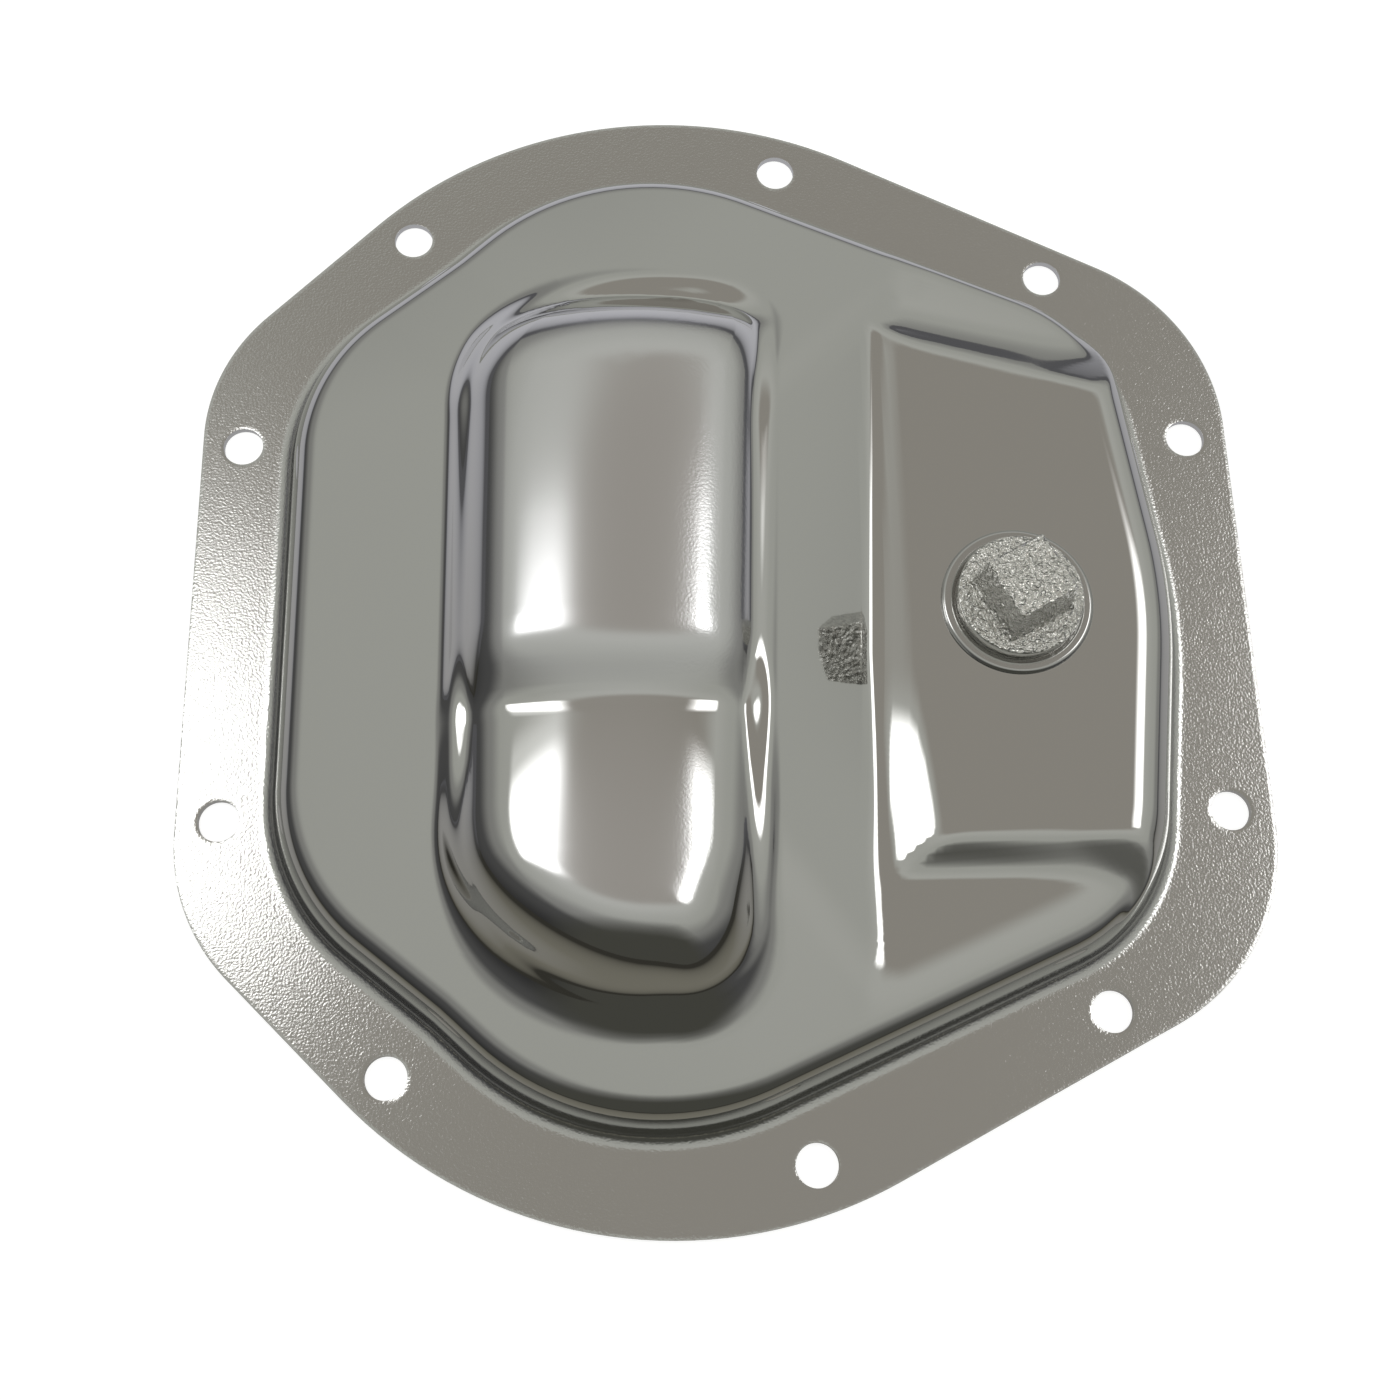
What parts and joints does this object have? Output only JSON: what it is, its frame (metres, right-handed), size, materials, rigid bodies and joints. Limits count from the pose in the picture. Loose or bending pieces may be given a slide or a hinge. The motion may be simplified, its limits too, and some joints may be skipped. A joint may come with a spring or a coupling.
{
  "type": "differential cover",
  "caption": "Pressed and chromed axle differential cover with a flat bolt flange, a domed ring gear hump and a filler pocket that holds a threaded bung and a square-head pipe plug.",
  "frame": {"origin": "centre of the flange outline, on the gasket face", "axes": "+Z away from the axle, out of the dome; +X from the hump towards the filler plug; +Y along the hump towards its higher lobe"},
  "size_m": [0.239, 0.2644, 0.0465],
  "materials": {
    "chromed_sheet": "chrome plate, polished on the dome and satin on the flange",
    "turned_steel": "turned and plated",
    "plated_casting": "rough as cast, plated"
  },
  "bodies": {
    "root": {"cover": "chromed_sheet", "fill_bung": "turned_steel", "fill_plug": "plated_casting"}
  },
  "joints": []
}
